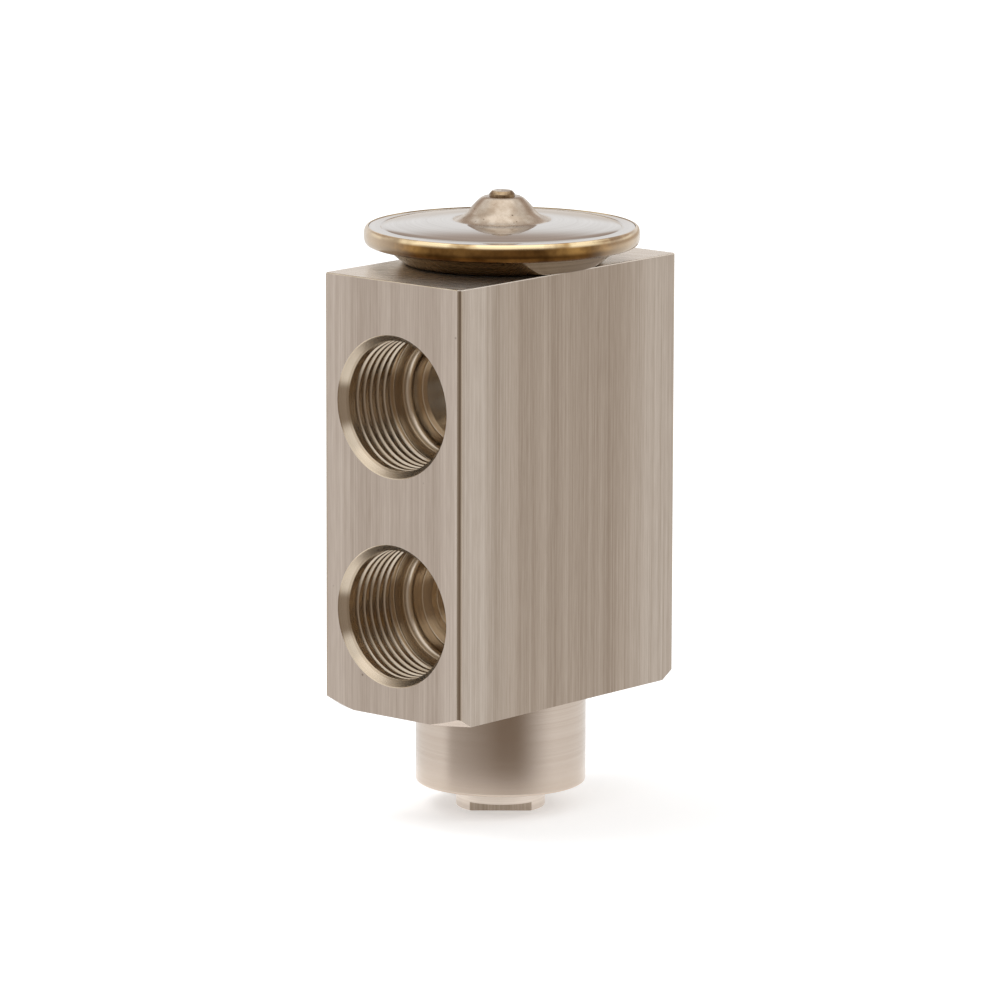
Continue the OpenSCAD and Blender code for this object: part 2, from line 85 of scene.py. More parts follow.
mouth_r, lead_r, lead_l = 11.35, 10.45, 1.45
mouth_break = 0.15
undercut_r, thread_end, undercut_end = 11.15, 11.5, 13.0
port_seat_r, seat_end = 9.9, 13.9
shoulder, pilot_r, pilot_end = 1.15, 8.6, 17.0
passage_r, liquid_step_r, liquid_step_l, drilling_r = 7.5, 6.5, 1.2, 4.0
feed_rise, feed_past = 3.2, 4.5
port_pitch, port_root_r = 1.5875, 11.0

adjust_r, adjust_pitch, adjust_depth = 8.0, 1.0, 0.62
chamber_r, chamber_z = 6.5, block_z - 4.0
seat_z, orifice_r, guide_r = block_z + 20.7, 2.6, 1.65
seal_bore_r, seal_bore_l = 4.5, 4.0
groove_r, groove_l = 4.9, 0.54
neck_bore_r, socket_r, socket_z = 5.2, 10.75, top_z - 8.55
head_seal_r, head_seal_l = 12.52, 1.82


def rounded(corners, steps=5):
    """Points of an outline through corners (a, b, rounding), each corner rounded by an arc."""
    points = []
    count = len(corners)
    for i, corner in enumerate(corners):
        here = Vector(corner[:2])
        radius = corner[2] if len(corner) > 2 else 0
        if radius <= 0:
            points.append(here)
            continue
        to_last = (Vector(corners[i - 1][:2]) - here).normalized()
        to_next = (Vector(corners[(i + 1) % count][:2]) - here).normalized()
        half = to_last.angle(to_next) / 2
        middle = here + (to_last + to_next).normalized() * radius / math.sin(half)
        first = here + to_last * radius / math.tan(half) - middle
        sweep = first.angle_signed(here + to_next * radius / math.tan(half) - middle)
        for k in range(steps + 1):
            points.append(middle + Matrix.Rotation(-sweep * k / steps, 2) @ first)
    return points


def link(name, build):
    """Object with the mesh that build() makes in millimetres, scaled to metres."""
    mesh = bpy.data.meshes.new(name)
    work = bmesh.new()
    build(work)
    bmesh.ops.remove_doubles(work, verts=work.verts, dist=1e-5)
    bmesh.ops.recalc_face_normals(work, faces=work.faces)
    bmesh.ops.scale(work, vec=(MM, MM, MM), verts=work.verts)
    work.to_mesh(mesh)
    work.free()
    made = bpy.data.objects.new(name, mesh)
    bpy.context.scene.collection.objects.link(made)
    return made


def polar(r, angle, z):
    """Point at a radius, an angle and a height."""
    return (r * math.cos(angle), r * math.sin(angle), z)


def turned(name, corners, segments=128):
    """Solid turned about the Z axis from a closed outline of (radius, height, rounding) corners."""
    outline = rounded(corners)

    def build(work):
        rings = []
        for point in outline:
            if point.x < 1e-6:
                rings.append([work.verts.new((0, 0, point.y))] * segments)
                continue
            rings.append([work.verts.new(polar(point.x, 2 * math.pi * k / segments, point.y))
                          for k in range(segments)])
        for ring, above in zip(rings, rings[1:] + rings[:1]):
            for k in range(segments):
                after = (k + 1) % segments
                corners_here = [ring[k], ring[after], above[after], above[k]]
                unique = list(dict.fromkeys(corners_here))
                if len(unique) > 2:
                    work.faces.new(unique)

    return link(name, build)


def thread_cutter(name, bore_r, tip_r, pitch, low, high, run_in=0.5, tip_flat=0.125, segments=96):
    """Helical ridge between two heights that cuts a right-hand thread and deepens over its run_in turns."""
    overlap = 0.25 if tip_r > bore_r else -0.25
    root_half = pitch * tip_flat / 2 + abs(tip_r - bore_r + overlap) * math.tan(math.radians(30))
    tip_half = pitch * tip_flat / 2
    section = [(bore_r - overlap, -root_half), (tip_r, -tip_half), (tip_r, tip_half),
               (bore_r - overlap, root_half)]
    turns = (high - low) / pitch

    def build(work):
        rings = []
        for k in range(int(turns * segments) + 1):
            angle = 2 * math.pi * k / segments
            height = low + pitch * k / segments
            lift = (tip_r - bore_r) * max(0, 1 - k / (segments * run_in))
            rings.append([work.verts.new(polar(r - lift, angle, height + z)) for r, z in section])
        for ring, after in zip(rings, rings[1:]):
            for k in range(len(section)):
                n = (k + 1) % len(section)
                work.faces.new((ring[k], ring[n], after[n], after[k]))
        work.faces.new(rings[0])
        work.faces.new(reversed(rings[-1]))

    return link(name, build)


def laid(tool, side, z):
    """Turns a port tool so that it enters the front face (side -1) or the back face (side 1) at a height."""
    face = Vector((0, side * block_d / 2, z)) * MM
    tool.data.transform(Matrix.Translation(face) @ Matrix.Rotation(side * math.pi / 2, 4, "X"))
    return tool


def machine(work, tools, operation="DIFFERENCE"):
    """Cuts the tools from a piece, or adds them to it, and removes the tools."""
    for tool in tools:
        step = work.modifiers.new("cut", "BOOLEAN")
        step.operation = operation
        step.solver = "MANIFOLD"
        step.object = tool
    graph = bpy.context.evaluated_depsgraph_get()
    result = bpy.data.meshes.new_from_object(work.evaluated_get(graph))
    work.modifiers.clear()
    work.data = result
    result.materials.clear()
    for tool in tools:
        bpy.data.objects.remove(tool)


def bar_stock(work):
    """Upright bar with rounded edges and a finely broken top edge."""
    half_w, half_d = block_w / 2, block_d / 2
    heights = [(block_z, 0), (top_z - sawn_edge, 0), (top_z - sawn_edge * 0.3, sawn_edge * 0.3),
               (top_z, sawn_edge)]
    rings = []
    for z, inset in heights:
        w, d, r = half_w - inset, half_d - inset, edge_r - inset
        points = rounded([(w, -d, r), (w, d, r), (-w, d, r), (-w, -d, r)], steps=6)
        rings.append([work.verts.new((p.x, p.y, z)) for p in points])
    for ring, above in zip(rings, rings[1:]):
        for k in range(len(ring)):
            n = (k + 1) % len(ring)
            work.faces.new((ring[k], ring[n], above[n], above[k]))
    work.faces.new(reversed(rings[0]))
    work.faces.new(rings[-1])


def port_tools(side, z):
    """Boring tool for one port, and the thread cutter that follows it."""
    flare = mouth_r + mouth_break
    bore = turned("port bore", [
        (0, -1), (flare + 1, -1), (flare + 1, -0.001), (flare, 0), (mouth_r, mouth_break, mouth_break),
        (lead_r, lead_l), (port_crest_r, lead_l + lead_r - port_crest_r), (port_crest_r, thread_end),
        (undercut_r, thread_end + 0.3, 0.2), (undercut_r, undercut_end, 0.25), (port_seat_r, undercut_end),
        (port_seat_r, seat_end, 0.1), (pilot_r, seat_end, shoulder), (pilot_r, pilot_end, 0.2),
        (0, pilot_end)])
    cutter = thread_cutter("port tap", port_crest_r, port_root_r, port_pitch,
                           lead_l + 1.1, undercut_end - 0.6)
    return [laid(bore, side, z), laid(cutter, side, z)]


block = link("block_body", bar_stock)
machine(block, [turned("boss", [
    (0, boss_z), (boss_r, boss_z, turned_edge), (boss_r, block_z + 0.5), (0, block_z + 0.5)])], "UNION")
reach = 40
machine(block, [turned("underside", [
    (turn_r, block_z - 1), (turn_r, block_z), (reach, block_z + (reach - turn_r) * math.tan(turn_angle)),
    (reach, block_z - 1)])])
pilot_floor = block_d / 2 - pilot_end
port_places = [(-1, suction_z), (1, suction_z), (-1, liquid_z), (1, feed_z)]
machine(block, [tool for side, z in port_places for tool in port_tools(side, z)])
suction_drill = turned("suction drill", [(0, 0), (passage_r, 0), (passage_r, block_d), (0, block_d)])
liquid_drill = turned("liquid drill", [
    (0, pilot_end - 1), (liquid_step_r, pilot_end - 1), (liquid_step_r, pilot_end + liquid_step_l, 0.15),
    (drilling_r, pilot_end + liquid_step_l), (drilling_r, block_d / 2), (0, block_d / 2)])
feed_drill = turned("feed drill", [
    (0, pilot_end - 1), (drilling_r, pilot_end - 1), (drilling_r, block_d / 2 + feed_past),
    (0, block_d / 2 + feed_past)])
passage_floor_z = suction_z - passage_r
seal_floor_z = passage_floor_z - seal_bore_l
axis_drill = turned("axis drill", [
    (0, boss_z - 1), (adjust_r + 0.6, boss_z - 1), (adjust_r + 0.6, boss_z), (adjust_r, boss_z + 0.6),
    (adjust_r, chamber_z), (chamber_r, chamber_z), (chamber_r, seat_z), (orifice_r, seat_z),
    (orifice_r, feed_z + feed_rise), (guide_r, feed_z + feed_rise), (guide_r, seal_floor_z),
    (seal_bore_r, seal_floor_z), (seal_bore_r, passage_floor_z - groove_l),
    (groove_r, passage_floor_z - groove_l), (groove_r, passage_floor_z), (seal_bore_r, passage_floor_z),
    (seal_bore_r, suction_z), (neck_bore_r, suction_z), (neck_bore_r, socket_z), (socket_r, socket_z),
    (socket_r, top_z - head_seal_l), (head_seal_r, top_z - head_seal_l), (head_seal_r, top_z),
    (head_seal_r + 0.2, top_z + 0.2), (head_seal_r + 0.2, top_z + 1), (0, top_z + 1)])
adjust_tap = thread_cutter("adjusting tap", adjust_r, adjust_r + adjust_depth, adjust_pitch,
                           boss_z - 1, chamber_z - 1)
machine(block, [laid(suction_drill, -1, suction_z), laid(liquid_drill, -1, liquid_z),
                laid(feed_drill, 1, feed_z + feed_rise), axis_drill, adjust_tap])


def effect(name, inputs, outputs):
    """Empty shader effect with named value or vector inputs and value outputs."""
    tree = bpy.data.node_groups.new(name, "ShaderNodeTree")
    for label, start in inputs.items():
        kind = "NodeSocketFloat" if isinstance(start, (int, float)) else "NodeSocketVector"
        tree.interface.new_socket(label, in_out="INPUT", socket_type=kind).default_value = start
    for label in outputs:
        tree.interface.new_socket(label, in_out="OUTPUT", socket_type="NodeSocketFloat")
    return tree, tree.nodes.new("NodeGroupInput"), tree.nodes.new("NodeGroupOutput")


def feed(tree, node, **feeds):
    """Feeds a node's inputs, named or numbered as i0, with values or other nodes' outputs."""
    for label, given in feeds.items():
        key = int(label[1:]) if label[0] == "i" and label[1:].isdigit() else label.replace("_", " ")
        if isinstance(given, bpy.types.NodeSocket):
            tree.links.new(given, node.inputs[key])
        else:
            node.inputs[key].default_value = given
    return node


def wire(tree, kind, settings=None, **feeds):
    """Adds a node, sets its fields and feeds its inputs."""
    node = tree.nodes.new(kind)
    for field, value in (settings or {}).items():
        setattr(node, field, value)
    return feed(tree, node, **feeds)


def on_piece(tree):
    """Place on the piece, in metres."""
    return wire(tree, "ShaderNodeTexCoord").outputs["Object"]


def noise(tree, place, scale, detail, roughness=0.5, dimensions="3D"):
    """Value of a noise at a place."""
    return wire(tree, "ShaderNodeTexNoise", {"noise_dimensions": dimensions}, Vector=place, Scale=scale,
                Detail=detail, Roughness=roughness).outputs["Fac"]


def sums(tree, operation, *values):
    """Result of a sum on values."""
    numbered = {f"i{k}": value for k, value in enumerate(values)}
    return wire(tree, "ShaderNodeMath", {"operation": operation}, **numbered).outputs[0]


def vectors(tree, operation, *values):
    """Result of a sum on vectors, which is a value for a length or a product of two."""
    numbered = {f"i{k}": value for k, value in enumerate(values)}
    node = wire(tree, "ShaderNodeVectorMath", {"operation": operation}, **numbered)
    return node.outputs["Value" if operation in ("DOT_PRODUCT", "LENGTH", "DISTANCE") else "Vector"]


def value_mix(tree, share, first, last):
    """Value that goes from first to last with share."""
    return wire(tree, "ShaderNodeMix", {"data_type": "FLOAT"}, i0=share, i2=first, i3=last).outputs[0]


def colour_mix(tree, share, first, last, blend="MIX"):
    """Colour that goes from first to last with share."""
    return wire(tree, "ShaderNodeMix", {"data_type": "RGBA", "blend_type": blend},
                i0=share, i6=first, i7=last).outputs[2]


def ramp(tree, value, low, high, first=0.0, last=1.0, kind="LINEAR"):
    """Value that goes straight from first at low to last at high, and stays within them."""
    return wire(tree, "ShaderNodeMapRange", {"interpolation_type": kind}, Value=value, From_Min=low,
                From_Max=high, To_Min=first, To_Max=last).outputs[0]


def ease(tree, value, low, high, last=1.0):
    """Smooth rise from 0 at low to last at high, or fall where low is the larger."""
    return ramp(tree, value, low, high, 0.0, last, "SMOOTHSTEP")


def die_streaks():
    """Long streaks that run up a drawn bar: wide soft bands, narrow lines, and short drag marks."""
    tree, given, out = effect("die streaks", {"Bands per metre": 260.0, "Lines per metre": 3400.0},
                              ["Tone", "Relief"])
    place = on_piece(tree)
    slow, still, drag = [vectors(tree, "MULTIPLY", place, (1, 1, squeeze))
                         for squeeze in (0.012, 0.003, 0.06)]
    bands = noise(tree, slow, given.outputs["Bands per metre"], 2.0, 0.6)
    lines = noise(tree, still, given.outputs["Lines per metre"], 3.0, 0.75)
    marks = noise(tree, drag, 3100.0, 2.0, 0.6)
    both = value_mix(tree, 0.62, bands, lines)
    tone = value_mix(tree, 0.2, both, marks)
    spread = ramp(tree, tone, 0.38, 0.62)
    relief = value_mix(tree, 0.4, lines, marks)
    feed(tree, out, Tone=spread, Relief=relief)
    return tree


def lathe_rings():
    """Fine rings that a cutting tool leaves round an axis through Centre, along Axis."""
    tree, given, out = effect("lathe rings", {"Centre": (0, 0, 0), "Axis": (0, 0, 1),
                                              "Rings per metre": 5200.0}, ["Tone", "Relief"])
    place = on_piece(tree)
    arm = vectors(tree, "SUBTRACT", place, given.outputs["Centre"])
    along = vectors(tree, "DOT_PRODUCT", arm, given.outputs["Axis"])
    foot = wire(tree, "ShaderNodeVectorMath", {"operation": "SCALE"},
                i0=given.outputs["Axis"], Scale=along).outputs[0]
    spoke = vectors(tree, "SUBTRACT", arm, foot)
    radius = vectors(tree, "LENGTH", spoke)
    drift = noise(tree, spoke, 90.0, 1.0)
    shift = sums(tree, "MULTIPLY", drift, 0.00008)
    height = sums(tree, "ADD", along, shift)
    path = wire(tree, "ShaderNodeCombineXYZ", X=height, Y=radius).outputs[0]
    fine = noise(tree, path, given.outputs["Rings per metre"], 2.0, 0.7, "2D")
    wide = noise(tree, path, 700.0, 2.0, 0.6, "2D")
    tone = value_mix(tree, 0.5, fine, wide)
    spread = ramp(tree, tone, 0.35, 0.65)
    feed(tree, out, Tone=spread, Relief=fine)
    return tree


def smudges():
    """Soft cloudy patches, with a finer grain in the relief."""
    tree, given, out = effect("smudges", {"Patches per metre": 300.0}, ["Tone", "Relief"])
    place = on_piece(tree)
    cloud = noise(tree, place, given.outputs["Patches per metre"], 3.0, 0.6)
    grain = noise(tree, place, 2600.0, 3.0, 0.6)
    spread = ramp(tree, cloud, 0.36, 0.64)
    feed(tree, out, Tone=spread, Relief=grain)
    return tree


def rubbed_middle():
    """Mask of the middle of a drawn side, which fades from Start to End along Axis in streaks."""
    tree, given, out = effect("rubbed middle", {"Axis": (0, 1, 0), "Start": 0.012, "End": 0.025}, ["Mask"])
    place = on_piece(tree)
    along = vectors(tree, "DOT_PRODUCT", place, given.outputs["Axis"])
    away = sums(tree, "ABSOLUTE", along)
    still = vectors(tree, "MULTIPLY", place, (1, 1, 0.004))
    lines = noise(tree, still, 420.0, 3.0, 0.6)
    wander = sums(tree, "MULTIPLY_ADD", lines, 0.008, away)
    centred = sums(tree, "SUBTRACT", wander, 0.004)
    mask = ease(tree, centred, given.outputs["End"], given.outputs["Start"])
    feed(tree, out, Mask=mask)
    return tree


def specks():
    """Mask of small scattered specks of dirt and pits."""
    tree, given, out = effect("specks", {"Cells per metre": 320.0, "Share": 0.3, "Size": 0.1}, ["Mask"])
    place = on_piece(tree)
    cells = wire(tree, "ShaderNodeTexVoronoi", Vector=place, Scale=given.outputs["Cells per metre"])
    near = ramp(tree, cells.outputs["Distance"], given.outputs["Size"], 0.03)
    draw = wire(tree, "ShaderNodeSeparateXYZ", i0=cells.outputs["Color"]).outputs["X"]
    chosen = sums(tree, "LESS_THAN", draw, given.outputs["Share"])
    mask = sums(tree, "MULTIPLY", near, chosen)
    feed(tree, out, Mask=mask)
    return tree


STREAKS = die_streaks()
RINGS = lathe_rings()
SMUDGES = smudges()
MIDDLE = rubbed_middle()
SPECKS = specks()


def linear(colour):
    """Scene colour of an sRGB colour given as 0 to 255."""
    return tuple(((c / 255 + 0.055) / 1.055) ** 2.4 if c > 10 else c / 255 / 12.92 for c in colour) + (1.0,)


def new_material(name):
    """Material, its nodes and its body."""
    material = bpy.data.materials.new(name)
    material.use_nodes = True
    return material, material.node_tree, material.node_tree.nodes["Principled BSDF"]


def metal(name, pattern, settings, dark, light, gloss, relief):
    """Metal whose colour and gloss vary between two ends with a pattern of tool or die marks."""
    material, tree, body = new_material(name)
    marks = wire(tree, "ShaderNodeGroup", {"node_tree": pattern}, **settings)
    shade = colour_mix(tree, marks.outputs["Tone"], linear(dark), linear(light))
    dull = ramp(tree, marks.outputs["Tone"], 0.0, 1.0, gloss[1], gloss[0])
    bump = wire(tree, "ShaderNodeBump", Strength=relief[0], Distance=relief[1] * MM,
                Height=marks.outputs["Relief"]).outputs[0]
    feed(tree, body, Base_Color=shade, Roughness=dull, Normal=bump, Metallic=1.0)
    return material


def stained(material, mask, colour, blend="MULTIPLY"):
    """Tints a material's colour where the mask is high."""
    tree = material.node_tree
    body = tree.nodes["Principled BSDF"]
    base = body.inputs["Base Color"].links[0].from_socket
    tint = colour_mix(tree, mask, base, linear(colour), blend)
    feed(tree, body, Base_Color=tint)


def combed(material, centre, axis, amount):
    """Spreads a ring-marked metal's gloss across its rings, which run round an upright or level axis."""
    tree = material.node_tree
    body = tree.nodes["Principled BSDF"]
    place = on_piece(tree)
    arm = vectors(tree, "SUBTRACT", place, centre)
    level = vectors(tree, "MULTIPLY", arm, tuple(1 - part for part in axis))
    spoke = vectors(tree, "NORMALIZE", level)
    across = vectors(tree, "ADD", spoke, axis)
    feed(tree, body, Tangent=across, Anisotropic=amount)


def masked(material, pattern, **settings):
    """Mask that an effect gives in a material."""
    return wire(material.node_tree, "ShaderNodeGroup", {"node_tree": pattern}, **settings).outputs["Mask"]


def smooth(piece, angle=25):
    """Smooth shading that keeps edges sharper than the angle, and keeps flat faces flat."""
    piece.data.shade_smooth()
    piece.data.set_sharp_from_angle(angle=math.radians(angle))
    keep = piece.modifiers.new("flat faces", "WEIGHTED_NORMAL")
    keep.keep_sharp = True
    keep.weight = 80
    return piece


wide_sides = metal("drawn wide sides", STREAKS, {}, (172, 158, 144), (199, 187, 175),
                   (0.32, 0.42), (0.35, 0.02))
stained(wide_sides, masked(wide_sides, MIDDLE, Axis=(0, 1, 0), Start=0.0115, End=0.0235), (230, 225, 220))
stained(wide_sides, masked(wide_sides, SPECKS), (110, 92, 78))
port_sides = metal("drawn port sides", STREAKS, {}, (190, 175, 162), (215, 202, 190),
                   (0.32, 0.42), (0.35, 0.02))
stained(port_sides, masked(port_sides, MIDDLE, Axis=(1, 0, 0), Start=0.0085, End=0.0132), (239, 237, 235))
stained(port_sides, masked(port_sides, SPECKS), (110, 92, 78))
sawn = metal("sawn top", RINGS, {"Centre": (0.05, -0.12, 0), "Rings_per_metre": 3000.0},
             (222, 212, 200), (236, 227, 216), (0.24, 0.32), (0.25, 0.01))
combed(sawn, (0.05, -0.12, 0), (0, 0, 1), 0.7)
boss_metal = metal("turned boss", RINGS, {}, (196, 181, 167), (204, 190, 177), (0.18, 0.24), (0.16, 0.008))
combed(boss_metal, (0, 0, 0), (0, 0, 1), 0.3)
bored = [metal(label, RINGS, {"Centre": (0, 0, z * MM), "Axis": (0, 1, 0), "Rings_per_metre": 2500.0},
               (194, 177, 154), (220, 206, 187), (0.18, 0.24), (0.5, 0.012))
         for label, z in (("upper bores", suction_z), ("liquid bore", liquid_z), ("feed bore", feed_z))]
for surface, z in zip(bored, (suction_z, liquid_z, feed_z)):
    combed(surface, (0, 0, z * MM), (0, 1, 0), 0.9)
edge_metal = metal("drawn edges", STREAKS, {}, (166, 150, 132), (190, 176, 160), (0.1, 0.16), (0.15, 0.01))
for surface in [port_sides, sawn, boss_metal] + bored + [edge_metal, wide_sides]:
    block.data.materials.append(surface)
PORT_SIDE, SAWN_TOP, TURNED_FACE, UPPER_BORE, LIQUID_BORE, FEED_BORE, EDGE, WIDE_SIDE = range(8)


def block_surface(centre, normal):
    """Index of the finish on a face of the block."""
    half_w, half_d = block_w / 2, block_d / 2
    for side, z in port_places:
        reached = pilot_floor - 0.01 < side * centre.y < half_d - 0.001
        if reached and math.hypot(centre.x, centre.z - z) < mouth_r + 0.3 and centre.z < top_z - 0.1:
            return UPPER_BORE if z == suction_z else (LIQUID_BORE if side < 0 else FEED_BORE)
    outside = abs(centre.x) > half_w - edge_r * 0.4 or abs(centre.y) > half_d - 0.001
    at_corner = abs(centre.x) > half_w - edge_r and abs(centre.y) > half_d - edge_r
    if centre.z < block_z + 0.01 or (normal.z < -0.3 and centre.xy.length > turn_r - 0.2):
        in_hole = centre.xy.length < adjust_r + 0.05 and centre.z > boss_z + 0.01
        level_face = normal.z < -0.9 and centre.z > block_z - 0.01
        return UPPER_BORE if in_hole and not level_face else TURNED_FACE
    if at_corner and abs(normal.z) < 0.1 and max(abs(normal.x), abs(normal.y)) < 0.998:
        return EDGE
    if outside or at_corner:
        return SAWN_TOP if normal.z > 0.2 else (WIDE_SIDE if abs(normal.x) > 0.7 else PORT_SIDE)
    return SAWN_TOP if normal.z > 0.9 and centre.z > top_z - 0.01 else UPPER_BORE


for face in block.data.polygons:
    face.material_index = block_surface(face.center / MM, face.normal)
smooth(block)


def fit(piece, body, nodes, surface=None):
    """Puts a finished piece on its body, in the place of the CAD nodes that it stands for."""
    if surface:
        piece.data.materials.append(surface)
    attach(piece, body)
    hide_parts(*nodes)


fit(block, "housing", ["valve_block"])

# Where the push rod passes from the suction passage down to the feed drilling, a rubber ring seals it.
# A brass washer backs the ring, and a split steel clip sprung into a groove keeps both in the counterbore.
rod_r = 1.6
rod_seal_t = seal_bore_r - rod_r - 0.12


def ring_section(centre_r, height, wire_r, steps=20):
    """Outline corners of a round ring section."""
    turns = [2 * math.pi * k / steps for k in range(steps)]
    return [(centre_r + wire_r * math.cos(turn), height + wire_r * math.sin(turn)) for turn in turns]


def plain(name, colour, gloss, grain, metallic=0.0):
    """Even surface, rubber or fine metal, with a fine grain in its tone, gloss and relief."""
    material, tree, body = new_material(name)
    place = on_piece(tree)
    speckle = noise(tree, place, grain, 4.0, 0.65)
    darker, lighter = [c * 0.86 for c in colour], [min(255, c * 1.1) for c in colour]
    shade = colour_mix(tree, speckle, linear(darker), linear(lighter))
    dull = ramp(tree, speckle, 0.0, 1.0, gloss[0], gloss[1])
    bump = wire(tree, "ShaderNodeBump", Strength=0.2, Distance=0.01 * MM, Height=speckle).outputs[0]
    feed(tree, body, Base_Color=shade, Roughness=dull, Normal=bump, Metallic=metallic)
    return material


rubber = plain("moulded rubber", (30, 30, 31), (0.5, 0.7), 4000.0)
brass = metal("turned brass", RINGS, {}, (176, 140, 74), (208, 174, 104), (0.2, 0.3), (0.2, 0.006))
strip_steel = plain("spring strip", (150, 150, 152), (0.22, 0.34), 2500.0, metallic=1.0)
ground_steel = metal("ground steel", RINGS, {"Rings_per_metre": 9000.0}, (186, 185, 183), (208, 207, 205),
                     (0.1, 0.18), (0.15, 0.004))

rod_seal = smooth(turned("rod_seal_ring", ring_section(
    (seal_bore_r + rod_r) / 2, seal_floor_z + rod_seal_t / 2 + 0.02, rod_seal_t / 2)), 60)
fit(rod_seal, "housing", ["rod_seal"], rubber)
washer_low, washer_high = box_of("seal_washer")
washer = smooth(turned("backing_washer", [
    (rod_r + 0.15, washer_low.z, 0.08), (seal_bore_r - 0.06, washer_low.z, 0.08),
    (seal_bore_r - 0.06, washer_high.z, 0.08), (rod_r + 0.15, washer_high.z, 0.08)]))
fit(washer, "housing", ["seal_washer"], brass)


def dress(name, surface):
    """Gives its finish to a CAD piece that is shown as it is."""
    piece = frame["nodes"][name]
    piece.data.materials.clear()
    piece.data.materials.append(surface)


dress("seal_clip", strip_steel)

# The ball is a hardened bearing ball that rests in the pocket of a brass carrier and closes the orifice
# from below. A strip spring with fingers sits under the carrier's flange and rubs on the chamber wall,
# which stops chatter.
ball_low, ball_high = box_of("valve_ball")
ball_r = (ball_high.z - ball_low.z) / 2
ball_z = (ball_high.z + ball_low.z) / 2
carrier_low, carrier_high = box_of("ball_carrier")
carrier_r, carrier_spigot_r = carrier_high.x, 3.3
damper_high = box_of("damper_spring")[1]
carrier_flange_z = damper_high.z + 0.02
pocket_top = carrier_high.z
pocket_r = math.sqrt((ball_r + 0.02) ** 2 - (pocket_top - ball_z) ** 2)


def ball_section(steps=24):
    """Points up the half circle that the ball is turned from."""
    return [(ball_r * math.sin(math.pi * k / steps), ball_z - ball_r * math.cos(math.pi * k / steps))
            for k in range(steps + 1)]


def pocket_section(steps=8):
    """Points down the wall of the pocket, from its rim to the axis."""
    hollow_r = ball_r + 0.02
    rim = math.asin(pocket_r / hollow_r)
    return [(hollow_r * math.sin(rim * (1 - k / steps)), ball_z - hollow_r * math.cos(rim * (1 - k / steps)))
            for k in range(steps + 1)]


ball = smooth(turned("bearing_ball", ball_section(), 64), 60)
fit(ball, "spindle", ["valve_ball"], ground_steel)
carrier = smooth(turned("brass_carrier", [
    (0, carrier_low.z), (carrier_spigot_r, carrier_low.z, 0.3), (carrier_spigot_r, carrier_flange_z, 0.1),
    (carrier_r, carrier_flange_z, 0.15), (carrier_r, pocket_top, 0.25)] + pocket_section()))
fit(carrier, "spindle", ["ball_carrier"], brass)
dress("damper_spring", strip_steel)

# A thin rod carries the motion of the diaphragm to the ball, through the seal and the guide bore.
# It is pressed into a thick pin that crosses the suction passage, where the gas warms or cools the pin.
pin_low, pin_high = box_of("sensing_pin")
rod_low, rod_high = box_of("push_rod")
pin_r = pin_high.x
push_rod = smooth(turned("push_rod_ground", [
    (0, rod_low.z), (rod_r, rod_low.z, 0.2), (rod_r, rod_high.z), (0, rod_high.z)]))
fit(push_rod, "spindle", ["push_rod"], ground_steel)
pin = smooth(turned("sensing_pin_turned", [
    (rod_r, pin_low.z, 0.1), (pin_r - 0.5, pin_low.z, 0.1), (pin_r, pin_low.z + 0.5, 0.2),
    (pin_r, pin_high.z), (0, pin_high.z), (0, rod_high.z), (rod_r, rod_high.z)]))
fit(pin, "spindle", ["sensing_pin"], ground_steel)

# The superheat spring is wound from hard-drawn wire, right-handed, with closed ends.
# It stands on a brass seat, and both ends are centred by the spigots of the seat and the carrier.
spring_low, spring_high = box_of("superheat_spring")
wire_r, coil_r, coil_turns, closed_turns = 0.75, 4.4, 4.5, 0.75


def skin(work, rings, nexts):
    """Joins each ring of points to its next with four-cornered faces."""
    for ring, after in zip(rings, nexts):
        for j in range(len(ring)):
            n = (j + 1) % len(ring)
            work.faces.new((ring[j], after[j], after[n], ring[n]))


def coil(work, first_turn, last_turn, around=96, sides=16):
    """Stretch of the closed-ended coil spring between the seat and the damper."""
    low, high = spring_low.z + wire_r, spring_high.z - wire_r
    end_rise = 2 * wire_r * closed_turns
    count = int(coil_turns * around)
    rings = []
    for k in range(int(first_turn * around), int(last_turn * around) + 1):
        turn = k / around
        closed = (min(turn, closed_turns) + max(0, turn - coil_turns + closed_turns)) / closed_turns
        opened = min(1, max(0, (turn - closed_turns) / (coil_turns - 2 * closed_turns)))
        z = low + end_rise * closed + (high - low - 2 * end_rise) * opened
        taper = min(1, k / 6 + 0.72, (count - k) / 6 + 0.72)
        angle = 2 * math.pi * turn
        ring = []
        for j in range(sides):
            b = 2 * math.pi * j / sides
            r = coil_r + wire_r * taper * math.cos(b)
            ring.append(work.verts.new(polar(r, angle, z + wire_r * taper * math.sin(b))))
        rings.append(ring)
    skin(work, rings, rings[1:])
    work.faces.new(reversed(rings[0]))
    work.faces.new(rings[-1])


# The screw presses the spring's lower half from below and the pin its upper half from above. Its middle
# stays where it is, so the wire is made as two halves that meet there.
spring_wire = plain("drawn spring wire", (140, 141, 144), (0.18, 0.3), 1500.0, metallic=1.0)
coil_mid_z = (spring_low.z + spring_high.z) / 2
for name, turns, bodies, still in (
        ("superheat_coil_lower", (0, coil_turns / 2), ("spring_follower", "housing"),
         (spring_low.z + wire_r, coil_mid_z - wire_r)),
        ("superheat_coil_upper", (coil_turns / 2, coil_turns), ("housing", "spindle"),
         (coil_mid_z + wire_r, spring_high.z - wire_r))):
    coil_half = smooth(link(name, lambda work: coil(work, *turns)), 50)
    coil_half.data.materials.append(spring_wire)
    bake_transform(coil_half)
    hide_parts("superheat_spring")

